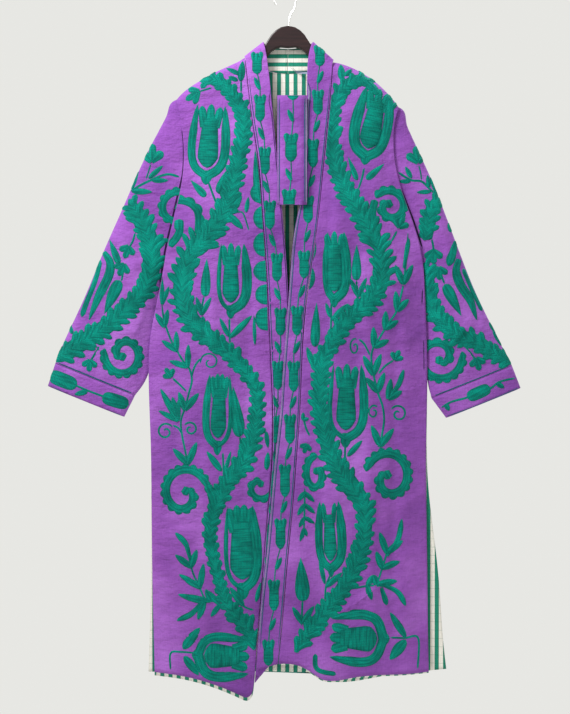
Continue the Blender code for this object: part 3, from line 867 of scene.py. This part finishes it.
def sew(drawing, panel, name, way=-1):
    """Lays a drawing on a panel's front (way -1) or back (way 1) and makes it a piece."""
    grid, lifts, maps, rims, faces, slots = drawing.arrays()
    base = read_points(panel)
    left, right = edges_of(panel)
    x, z = to_world(grid)
    low, high = left(z) + EDGE, right(z) - EDGE
    out = (x < low) | (x > high) | (z > base[:, 2].max() - EDGE) | (z < base[:, 2].min() + EDGE)
    x = np.clip(x, low, high)
    z = np.clip(z, base[:, 2].min() + EDGE, base[:, 2].max() - EDGE)
    keep = ~out[faces].all(1)
    faces, slots = faces[keep], slots[keep]
    tree = BVHTree.FromPolygons([tuple(p) for p in base], [tuple(f.vertices) for f in panel.data.polygons])
    start = RAY_START * way
    reach = Vector((0, -way, 0))
    made = np.zeros((len(x), 3))
    missed = np.zeros(len(x), bool)
    for i in range(len(x)):
        spot, normal, _, _ = tree.ray_cast(Vector((x[i], start, z[i])), reach)
        if spot is None:
            spot, normal, _, _ = tree.find_nearest(Vector((x[i], NEAR_START * way, z[i])))
            missed[i] = True
        if normal.y * way < 0:
            normal = -normal
        lean = Vector((normal.x, normal.y + 0.5 * way, normal.z)).normalized()
        made[i] = spot + lean * lifts[i]
    faces_missed = missed[faces].all(1)
    faces, slots = faces[~faces_missed], slots[~faces_missed]
    a, b, c = made[faces[:, 0]], made[faces[:, 1]], made[faces[:, 3]]
    wrong = np.cross(b - a, c - a)[:, 1] * way < 0
    faces[wrong] = faces[wrong][:, ::-1]
    used, faces = np.unique(faces, return_inverse=True)
    faces = faces.reshape(-1, 4)
    made, maps, rims = made[used], maps[used], rims[used]
    mesh = bpy.data.meshes.new(name)
    mesh.from_pydata(made.tolist(), [], faces.tolist())
    layer = mesh.uv_layers.new(name="stitch")
    loops = np.zeros(len(mesh.loops), int)
    mesh.loops.foreach_get("vertex_index", loops)
    layer.data.foreach_set("uv", maps[loops].astype(np.float32).reshape(-1))
    rim = mesh.attributes.new("rim", "FLOAT", "POINT")
    rim.data.foreach_set("value", rims.astype(np.float32))
    for material in (GREEN, BLUE, COTTON, SHADOW, PALE):
        mesh.materials.append(material)
    mesh.polygons.foreach_set("material_index", slots.astype(np.int32))
    obj = add_object(name, mesh)
    finish_piece(obj)
    return obj


# The designs. Each row starts with a word that names what is drawn, one of the Drawing's methods or a
# leaf. Points on the grid are written x,y. The numbers after them are sizes and angles, in the method's
# order. A bar ends a path. An indented line goes on with the row above.
LEFT_FRONT = """
tulip 207,168 4 62 21 17 17 6.5 7.5
stem 208,181 212,192 216,203
bud 206,197 190.5,180 7
bud 218.5,194 227,170 9
bud 260.5,204 255,150 10
vine 190,258 205,240 222,215 230,195 236,168 241,148 244,130 243,114 236,100 226,87 213,79 199,80 | 0,12
  0.5,9 0.8,8 1,8
leaf 240.5,81 242.5,60 7
leaf 238,80 228,76 4.6
leaf 240,74 226,67 4.6
stem 241,92 241,80
barb 199,90.5 187.5,88 6.4
barb 199,90.5 185.5,100 6.4
barb 199,90.5 194,104 6
stem 199,91 206,89 212,87
sprig 229,215 242,196 243,229 5.2
stem 229,215 241,212 245,218 249,231 | 2
leaf 246,213 248.5,197 4.4
cord 207.5,484 212,495 215,510 | 4.6 2.2
vine 255,648 251,635 239,618 226,599 218,575 212,551 210,536 213,516 221,496 229,480 242,464 252,440
  256.5,415 256.5,391 248,375 235,359 218,344 200,330 186,310 182,286 189,258 200,240 | 0,11 0.12,7
  0.2,6.5 0.3,8 0.36,9 0.42,11 0.5,8.5 0.58,7 0.66,8.5 0.75,10.5 1,13
arch 174,200 184,201 193,205.5 198.6,215 198.4,236 | 9 5
pad 179,231 179,219 9
cord 179.6,226 179.4,232 175.5,239 168.5,246 | 4.2 2.1
tulip 231,303 0 58 17 12 16 3.4 8
stem 229.5,318 229.6,328 230,344
leaf 229,337 220,318 4.6
leaf 230,338 252,315.6 6.4
bud 205.5,297 207,259 9.5
stem 204.5,296 202.5,306 202,316
sprig 202,315 196.4,297 211.6,297.5 3.8
sprig 163.9,327 154.7,313 167.4,309 4.2
sprig 176.5,351 161,340.4 175.8,331 4.2
sprig 187.7,367 169,361 188.4,344.5 4.4
sprig 161.5,304 161,276 168.6,286 3.6
sprig 185,410 178.6,392 199,393 5
sprig 178,421 160,389 172,397 5
sprig 178,421 158,411 178,400 4
sprig 187.8,464 172.5,449 197,442 5
stem 161,302 163,318 166,328 171,341 177,351 183,361 189,368 192,380 189,393 185,408 181,421 182,435
  185,450 188,464 189,470
curl 210,362 190 -1.3 9.5 1.2 2.2
stem 191,378 195,366 201,358
flower 171,377 -35 10
stem 172,378 181,386 187,392
curl 165,432 30 1.4 8.5 1.2 2.4
stem 182,434 178,428 172,425.5
curl 190.5,429 150 -1.3 7 1.2 2.4
tulip 218,438 2 62 16 12.5 12 6.2 3.6 4
bud 239.5,437 233,386 12
stem 240,436 241,446 243,456
stem 223,452 223.6,466 224,476
leaf 222,471 207,451 6.4
leaf 225,472 231,451 4
scroll 184,494 12 1.12 27 5.5 9.5 0.92
leaf 266,431 268,448 4.6
leaf 266.5,470 268,452 5.6
scroll 260,487 40 -0.9 14 5 7.5
tulip 243,579 -2 72 25 16 15 3.6 8.2 4
leaf 244,606 230,586 6.8
leaf 256,602 261,582 4.6
stem 254,610 246,607 240,602
sprig 191,567 175,555 197,549.5 4.8
sprig 200,587 179,574.5 203.8,563 4.8
sprig 211,600 206,588 180,595 4.4
sprig 205,601 198,619 178,594.5 4.8
sprig 220,604 211,616 207,589 4
stem 226,606 216,601 206,598 200,587 194,575 191,566 188,552 | 2.4
barb 190,558 175,533 5.4 0.12
barb 203,600 176.5,621 5.4 -0.1
tulip 204,655 91 44 25 19 21 7.5 8.5
stem 195,652.5 181,652 170.3,654 170.3,671
leaf 183,649 200,627 9
leaf 184,656 199,675 8
"""
LEFT_SEAMS = """
moon 261.5,182 262.4,204 12 -1
moon 263.5,206 264.5,230 11 -1
moon 264.5,232 265.4,257 12 -1
moon 265.4,260 266.4,282 13 -1
moon 266.4,284 267,305 12 -1
moon 267,307 267.6,331 13 -1
leaf 255,345 254,315 3.6
crease 150,443 163,444 177,446
crease 147,576 168,582 188,581
crease 195,495 224,491 252,489
crease 165,528 180,523 196,516
crease 160,552 178,548 196,546
"""
# In the right front's design, the shade rows are painted shadow in the two pocket slits of the side seam.
RIGHT_FRONT = """
crease 352,285 388,285 424,286
crease 404,347 416,351 425,353
crease 398,423 412,428 427,431
crease 400,391 414,388 426,384
crease 296,521 304,522 316,519
crease 372,447 386,444 402,446
crease 340,610 358,600 374,588
welt 424,262 424.6,300 425.2,340 426,400 426.6,446
shade 423,288 422.6,305 | 1.4
shade 424.6,338 424.8,372 | 1.4
tulip 367.5,149 12 60 21 17 15 9 8
stem 364,168 362,178 358,190
bud 366,180 384,164 6.6
bud 357,181 348,157 5.4
vine 378,250 368,228 354,204 342,182 334,158 332,136 333,114 338,97 348,85 361,80 374,83 | 0,12 0.5,9
  0.8,8 1,9
leaf 342,80 341,63 7
leaf 345,76 352,68 5
barb 387,113 398,101 5
barb 387,113 392,97 4
scroll 390,207 150 -1.1 17 5 9
cord 375,200 372,213 374,226 | 4.2 2.2
flower 399,228 20 12
stem 397,231 391,242
vine 296,652 310,631 324.6,612 339,593 350,575.5 358,558 363.7,539 365,520 363,504 352,488 343,476
  334,461 326,439 322,422 319,401 320.7,380 323.5,359 332,344 339,331 350,318 367,303 377,289 381,275
  379.6,258 377,240 | 0,9 0.1,9 0.2,10 0.3,9 0.36,10 0.42,12.5 0.5,10 0.62,9 0.72,9 0.85,11 1,12
tulip 334,292 0 58 17 8 12 6 8
stem 331,303 331,320 330,344
leaf 331.5,321 347.5,304 6.4
leaf 330.5,318 325.6,303 4.4
bud 356,281 356.5,245 9
stem 356,280 357.5,296 357,306
sprig 358,297 350,279 366,278 4
sprig 403.5,284 395,265 413,264.5 5
sprig 397,311 395.5,291 409,299 5
sprig 384.6,329 385.5,311 398.5,320.5 5
sprig 374,347 373,327 389,340 5
sprig 373,375 363,355.5 381,353.8 5
sprig 377.5,392 365.5,377.5 384.5,372.5 5
sprig 388,399 391,378.5 402.5,391 5
sprig 380,446 371,425 394,428.5 5.2
barb 388,399 404,369.5 5 0.08
barb 404,268 409,238 4.6
stem 408,232 406,262 403.5,283 400,299 396,312 390,321 384.6,329 378,340 373,348 371,358 373,373
  377.5,392 382.5,406 384,420 382,434 380,447 379.6,452
flower 395,360 25 10
stem 394,360 385,366 378,374
curl 354.5,347 60 1.4 8.5 1 2.2 0.6
stem 370,356 364,344 358,339
curl 373.3,412 40 1.3 7 1.2 2.4 0.8
curl 398.6,414 150 -1.35 8.5 1.2 2.4
tulip 345.5,430 1 64 20 16.5 18 4 7.5
stem 345,444 344.6,462 345,470
leaf 338.5,460 328,436 6.6
leaf 347,456 362,440 5.6
bud 314.7,347 316.5,303 9
sprig 313.7,367 306.7,347 322,347 4.4
sprig 303,420 303,412 309,418 3
sprig 302,623 292.5,606.5 314,605.5 4.2
sprig 386.8,553 379.4,532 403,540.5 5
sprig 382,568 376,551 400,561.5 5
sprig 376,584 373.5,574 397.5,581 5.2
sprig 367,585 373,574 371.5,599 4.4
flower 307,444 200 9
stem 302.5,414 306,428 310,436
scroll 389,478 165 -1.12 27 6 10 0.9
scroll 316,474 80 1 18 5 8 0.62
stem 304.7,487 304.5,510 303.5,538 | 2.2
sprig 304.5,492 297.5,501 314.5,501.5 3.6
sprig 304.5,504 297.5,515 315,513 3.6
sprig 304.5,517 299,527 314.5,523 3.4
sprig 304,528 300,541 307,536 3
tulip 330.5,560 -2 58 13 11 12 6.2 7.6 2
leaf 325,586 342,571.5 6
leaf 324.6,583 319,556 4.6
stem 331,572 326,584 324.6,600
bud 303,601 300.5,557 13.5
stem 302.5,600 302,612 301.6,626
stem 352.5,588 367,585 376,583.4 380,574 384,562 388,549 | 2.4
barb 387,556 402,519 5.2 0.1
barb 381,587 387,605 5.2
barb 384,585 406,606 5.2 -0.14
tulip 377,638 -88 46 26 24 24 8 8
stem 390,637.5 405,638 418.6,639 417.8,669.5
leaf 406,637.5 390,612.5 7
leaf 406,640 389.5,659 10
cord 315,653 317,668 336,673 | 2.6 1.6
moon 312.5,130 312,152 8 1
moon 311.5,156 311,178 8 1
moon 310.6,182 310,206 8 1
moon 309.8,210 309,234 8 1
moon 308.6,238 308,262 8 1
moon 307.6,266 307,290 8 1
"""
# In the left sleeve's design, the shade row is painted shadow along the armhole, where the body shades the
# sleeve.
LEFT_SLEEVE = """
flower 151,161 2 17
stem 150.5,163 148,171 145.4,179 | 1.9
stem 128.8,191 145.4,182 165.8,174 180,176.6 | 3
leaf 148,178 162.5,165 5.2
leaf 151,180 168,180 5
leaf 130.6,190.5 152,191.6 6
leaf 131,189 137.5,169 4.4
vine 52,361 71.4,349 90,337.5 108.4,324.6 125,310 140,295 149,276.5 151.5,258 149,239.5 140,219 128,198 |
  0,11 0.4,10 0.6,11.5 0.85,11 1,8
scroll 177,209 60 1 18 4 8.5
stem 153,237 162,239.6 172,240 | 5
petal 103,252 109.5,262 108.5,275 98,297 88.5,320 | 5 2.4
cord 99.5,259 94,281 85,304 81,317 | 3.2 2.2
bud 119,264 108.6,238.6 7
flower 128.8,246 200 12
stem 129,248 133,240 135,232
flower 124,264 205 12
stem 121,282 123,272 125,264
bud 119.5,280 104,314 11.5
scroll 123.5,354 165 1.2 22 5 9 0.9
flower 89.5,360 185 11
stem 90,361 95,353 99,346
leaf 72,334 66,322 5
line 54.6,362 80,372.3 106,383 133.6,394.2 | 1.7
crease 168,113 177,121 184,133
shade 182.4,118 182.2,131 183.4,145 182.6,172 176.6,198 171.4,221 164.8,249 158.6,284 | 2.6
crease 74,312 88,317 102,322
"""
# In the right sleeve's design, the shade row is painted shadow along the armhole, where the body shades the
# sleeve.
RIGHT_SLEEVE = """
flower 418.5,162 -6 16
stem 419,164 421,172 422,180 | 1.9
stem 398,171.6 411,179.6 422,181 431,189 441,198 | 3
leaf 412,178 405.6,166 4.6
leaf 411,181 399,181 4.4
leaf 429.5,187 428.2,174 4.6
leaf 431.6,191 417,192 4.4
leaf 438,194 431,176 4.6
vine 425,240 429,224 432,210 442,197 | 0,9 1,8
flower 434,250 180 13
stem 432,238 433.6,246 434,252
flower 439.5,267 178 12
stem 440,268 442,276 445,284
bud 445,284 461.5,316 10.5
barb 457,241 448.6,266 8.2
petal 459.5,259 456.5,271 461,285 470.5,300 477,320 | 5 2.4
cord 463.5,268 472.6,289 483,311 | 2.6 2.2
leaf 452,232 449,222 5
vine 515,362 492,352 476.6,342 459.4,336 444,323 432.5,304 428,282 425,262 | 0,9 0.5,10 1,9
scroll 440,357 14 -1.3 24 5 9 0.95
flower 476.6,358 165 12
stem 476,360 470,352 464,344
leaf 490,322 500,336 5
leaf 494,330 503,346 5
line 433,396.8 460,386 486,375.6 512.6,364.8 | 1.7
crease 406,121 399,127 391,134
shade 393.6,124 392.8,134 393.2,146 396.8,176 405.4,199 414,221 423.4,249 | 2.6
"""
LEFT_CUFF = """
pad 76.5,386 47,374.5 13.5
stem 74,385 88,391 104,397
leaf 87.3,391.4 74,394.7 5.4
pad 101.5,396.6 128,405 12.5
line 133.4,396.4 132.8,405 | 1.7
line 52,387.4 76,400 100,409 122.4,416.4 | 1.3
"""
RIGHT_CUFF = """
pad 467.5,398 491,387.6 11.5
stem 441,408.5 452,402 468,397.5 490,389 500,382 517,378
leaf 497,383 505,388 5.2
leaf 446,404 450,411 5
line 445,417.4 472,408 498,397.5 521.5,387 | 1.5
"""
# A band's cups: x, top and bottom
CUPS_LEFT = ((257, 52, 74), (260, 95, 122), (265, 148, 175), (270, 202, 230), (277, 254, 282),
             (280.5, 309, 336), (278, 362, 390), (275, 416, 444), (273, 470, 498), (270, 524, 552),
             (268, 578, 606), (266, 632, 660))
CUPS_RIGHT = ((320, 45, 66), (318, 90, 115), (313, 140, 168), (308, 197, 224), (304, 252, 279),
              (297, 307, 336), (293.6, 362, 392), (290, 415, 444), (285, 465, 497), (280.5, 519, 549),
              (274, 580, 611), (268.5, 640, 665))


def draw_band(d, cups, lean, size=5.4):
    """Upright cups with a leaf between each two, on one stem."""
    for x, top, bottom in cups:
        d.stroke([(x, bottom), (x, top + 3)], size, shape=pot_shape, satin=True, lift=2.0, flat=3.0)
        for c in (-0.66, 0.0, 0.66):
            tip = top - (1.5 if c else 0.0)
            d.leaf(x + c * size, top + 8, x + c * size * 1.1, tip, size * 0.86, shape=barb_shape)
    for (x0, _, low), (x1, high, _) in zip(cups, cups[1:]):
        middle = ((x0 + x1) / 2 - lean * 1.2, (low + high) / 2)
        d.stem([(x0, low - 2), middle, (x1, high + 6)], 1.5)
        d.leaf(middle[0], middle[1] + 4, middle[0] + lean * 5.5, middle[1] - 8, 4.6, shape=blade_shape)


def edge_line(d, edge, inset, top, bottom, slot=LINE, width=1.3, count=26):
    """A line that follows a panel's edge, a little way in: chain stitching in its slot's material, which in
    the shade slot is painted shadow.
    """
    rows = np.linspace(top, bottom, count)
    x = edge((GRID_Y - rows) * STEP) / STEP + GRID_X + inset
    d.line(list(zip(x, rows)), width, slot)


def draw_back(d):
    """The row of tulips down the middle of the back."""
    for y, size in ((60, 0.9), (196, 1.0), (340, 1.05), (486, 1.1)):
        d.tulip(CENTRE, y + 78, 0, 66 * size, 22 * size, 17 * size, 17 * size, 7, 7)
        d.stem([(CENTRE, y + 92), (CENTRE, y + 136)], 2.6)
        d.sprig(CENTRE, y + 116, CENTRE - 15, y + 98, CENTRE + 15, y + 98, 6.0)
        d.sprig(CENTRE, y + 134, CENTRE - 13, y + 118, CENTRE + 13, y + 118, 5.5)


def make_body():
    """Back, fronts, bands and belt, with the linings, sleeves and cuffs: the cloth alone."""
    made = {}
    made["back"] = dress("back", 3, BACK_FOLDS, 11, BACK_OUT)
    made["lining_back"] = dress("lining_back", 3, BACK_FOLDS, 11, BACK_OUT, LINING_SINK / BACK_OUT)
    for side in ("left", "right"):
        made["front_" + side] = dress("front_" + side, 3, FRONT_FOLDS)
        made["lining_front_" + side] = dress("lining_front_" + side, 3, FRONT_FOLDS, sink=LINING_SINK)
        made["band_" + side] = dress("band_" + side, 3, FRONT_FOLDS)
    made["belt"] = dress("belt", 2)
    for side, seed in (("left", 21), ("right", 22)):
        made["sleeve_" + side] = dress_sleeve("sleeve_" + side, 3, seed)
        made["cuff_" + side] = dress_sleeve("cuff_" + side, 3, seed)
    for node, obj in made.items():
        lined = node.startswith("lining")
        obj.data.materials.append(LINING if lined else COTTON)
        if node.startswith("band"):
            line_collar(obj)
        finish_piece(obj, (node,))
    return made


def make_embroidery(cloth):
    """Every panel's raised stitching, by panel."""
    sewn = {}

    def lay(panel, drawing, way=-1, tail="stitching"):
        sewn.setdefault(panel, []).append(sew(drawing, cloth[panel], panel + "_" + tail, way))

    lay("front_left", drawn(1, LEFT_FRONT, LEFT_SEAMS))
    lay("front_right", drawn(2, RIGHT_FRONT))
    for panel, seed, design in (("sleeve_left", 3, LEFT_SLEEVE), ("sleeve_right", 4, RIGHT_SLEEVE),
                                ("cuff_left", 5, LEFT_CUFF), ("cuff_right", 6, RIGHT_CUFF)):
        lay(panel, drawn(seed, design), -1, "front_stitching")
        lay(panel, drawn(seed, design), 1, "back_stitching")
    for side, cups, seed in (("left", CUPS_LEFT, 7), ("right", CUPS_RIGHT, 8)):
        drawing = Drawing(seed)
        draw_band(drawing, cups, -1 if side == "left" else 1)
        low, high = edges_of(cloth["band_" + side])
        if side == "left":
            edge_line(drawing, low, 1.6, 76, 660)
            # Painted shadow: a dark line along the left band's free edge, next to the right band
            edge_line(drawing, high, -1.2, 70, 660, SHADE, 1.0)
        else:
            edge_line(drawing, low, 0.7, 62, 650, PIPING, 1.3)
            edge_line(drawing, low, 2.3, 62, 650)
            edge_line(drawing, high, -1.4, 80, 650)
        lay("band_" + side, drawing)
    back = drawn(9, LEFT_FRONT)
    back.mirror = 2 * CENTRE
    back.follow(LEFT_FRONT)
    back.mirror = None
    draw_back(back)
    lay("back", back, 1)
    belt = Drawing(10)
    draw_band(belt, ((293, 80, 101), (291, 135, 163), (289, 191, 212)), -1, 6.4)
    low, high = edges_of(cloth["belt"])
    edge_line(belt, low, 0.6, 97, 205, PIPING, 1.2, 5)
    edge_line(belt, low, 2.2, 97, 205, LINE, 1.2, 5)
    edge_line(belt, high, -2.2, 97, 205, LINE, 1.2, 5)
    edge_line(belt, high, -0.6, 97, 205, PIPING, 1.2, 5)
    lay("belt", belt)
    return sewn


# The camera's lens and sensor in millimetres, and the height of its view at the coat's face
LENS = 70
SENSOR = 36
VIEW_HEIGHT = 1.399
FACE = -0.02
AIM_X = -0.0004
AIM_Z = -0.723


def make_camera():
    """A level camera straight in front."""
    data = bpy.data.cameras.new("camera")
    data.lens = LENS
    data.sensor_width = SENSOR
    obj = add_object("camera", data)
    distance = VIEW_HEIGHT * LENS / SENSOR
    obj.location = (AIM_X, FACE - distance, AIM_Z)
    obj.rotation_euler = (math.radians(90), 0, 0)
    bpy.context.scene.camera = obj


def area_light(name, place_at, aim, size, power):
    """A large soft lamp aimed at a point."""
    data = bpy.data.lights.new(name, "AREA")
    data.size = size
    data.energy = power
    obj = add_object(name, data)
    obj.location = place_at
    obj.rotation_euler = (Vector(aim) - Vector(place_at)).to_track_quat("-Z", "Y").to_euler()


FLOOR_SIZE = 2.8
FLOOR_LEVEL = -1.9


def make_studio():
    """A pale floor, a pale world and soft lamps."""
    world = bpy.data.worlds.new("pale")
    world.use_nodes = True
    background = world.node_tree.nodes["Background"]
    background.inputs["Color"].default_value = (0.80, 0.80, 0.77, 1)
    background.inputs["Strength"].default_value = 1.0
    bpy.context.scene.world = world
    bpy.ops.mesh.primitive_plane_add(size=FLOOR_SIZE, location=(0, 0, FLOOR_LEVEL))
    floor = bpy.context.object
    floor.name = "floor"
    floor.data.materials.append(Look("floor_pale", (0.78, 0.77, 0.75), 0.9).material)
    area_light("key", (-0.90, -0.92, 0.78), (0, 0, -0.38), 0.6, 40)
    area_light("back_key", (1.2, 1.0, 0.9), (0, 0, -0.5), 0.7, 32)
    bpy.context.scene.view_settings.view_transform = "Standard"


def main():
    """Builds the scene round the frame."""
    nodes = frame["nodes"]
    for name, material in (("hanger", WOOD), ("hook", STEEL)):
        nodes[name].data.materials.clear()
        nodes[name].data.materials.append(material)
    cloth = make_body()
    sewn = make_embroidery(cloth)
    make_camera()
    make_studio()


main()
